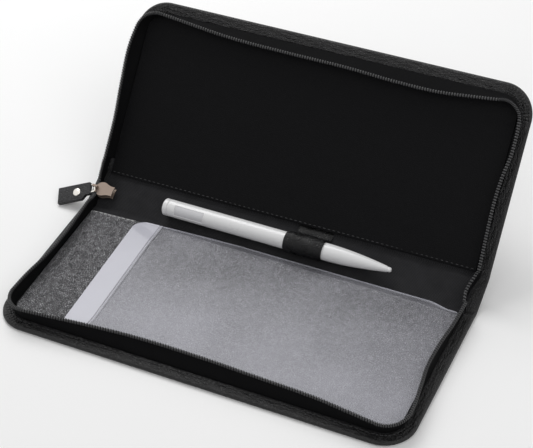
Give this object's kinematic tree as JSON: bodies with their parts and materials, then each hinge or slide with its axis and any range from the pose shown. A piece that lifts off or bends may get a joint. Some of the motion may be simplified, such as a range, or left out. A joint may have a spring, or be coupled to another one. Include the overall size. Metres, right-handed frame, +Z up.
{
  "type": "zip-round chequebook cover",
  "caption": "Slim hinged leather cover that zips shut round three sides, lying open with a clear sleeve, flat pocket panels and a pen in its loop.",
  "frame": {"origin": "on the table under the middle of the open cover's box, pull tab included", "axes": "+X along the spine, away from the slider; +Y from the base's free edge towards the spine and lid; +Z up"},
  "size_m": [0.2596, 0.1952, 0.0912],
  "materials": {
    "cover_leather": "black fine-grained leather with a soft sheen, lightly crinkled along its rolled edge",
    "grained_panel": "black leather with a coarser pebbled grain that catches the light",
    "smooth_panel": "matte smooth black lining leather",
    "lining_cloth": "finely woven black lining cloth",
    "stiffener_board": "grey-brown paperboard, hidden inside the leather",
    "zip_tape": "matte black woven zip tape",
    "zip_coil": "black nylon coil with small highlights on its teeth",
    "frosted_vinyl": "frosted clear vinyl film with a bluish-grey cast",
    "white_plastic": "smooth satin white plastic",
    "antique_nickel": "brown-grey antique nickel plating",
    "bright_rivet": "bright silver dome"
  },
  "bodies": {
    "base": {"base_leather": "cover_leather", "base_board": "stiffener_board", "base_lining": "lining_cloth", "base_pocket_panel": "grained_panel", "clear_sleeve": "frosted_vinyl", "base_zip_tape": "zip_tape", "base_zip_coil": "zip_coil"},
    "spine": {"spine_leather": "cover_leather", "spine_lining": "lining_cloth", "pen_loop": "cover_leather", "pen_barrel": "white_plastic", "pen_inset_plate": "white_plastic", "pen_end_cap": "white_plastic", "pen_tip": "white_plastic", "slider_body": "antique_nickel", "left_tape_end": "zip_tape", "right_tape_end": "zip_tape"},
    "lid": {"lid_leather": "cover_leather", "lid_board": "stiffener_board", "lid_lining": "lining_cloth", "lid_pocket_panel": "smooth_panel", "lid_zip_tape": "zip_tape", "lid_zip_coil": "zip_coil"},
    "pull": {"pull_link": "antique_nickel"},
    "tab": {"pull_tab": "cover_leather", "tab_rivet": "bright_rivet", "tab_rivet_back": "bright_rivet"}
  },
  "joints": [
    {"name": "spine_fold", "type": "hinge", "parent": "base", "child": "spine", "pos_m": [0, 0.0074, 0.0009], "axis": [1, 0, 0], "range_deg": [-24.25, 65.75]},
    {"name": "lid_fold", "type": "hinge", "parent": "spine", "child": "lid", "pos_m": [0, 0.028, 0.01018], "axis": [1, 0, 0], "range_deg": [-24.25, 65.75]},
    {"name": "link_swing", "type": "hinge", "parent": "spine", "child": "pull", "pos_m": [-0.10596, 0.0127, 0.01152], "axis": [-0.3584, 0.8512, 0.3834], "range_deg": [0, 60]},
    {"name": "tab_swing", "type": "hinge", "parent": "pull", "child": "tab", "pos_m": [-0.11053, 0.01153, 0.00985], "axis": [-0.3584, 0.8512, 0.3834], "range_deg": [0, 40]}
  ],
  "couplings": [
    {"joint": "lid_fold", "follows": "spine_fold", "ratio": 1}
  ]
}
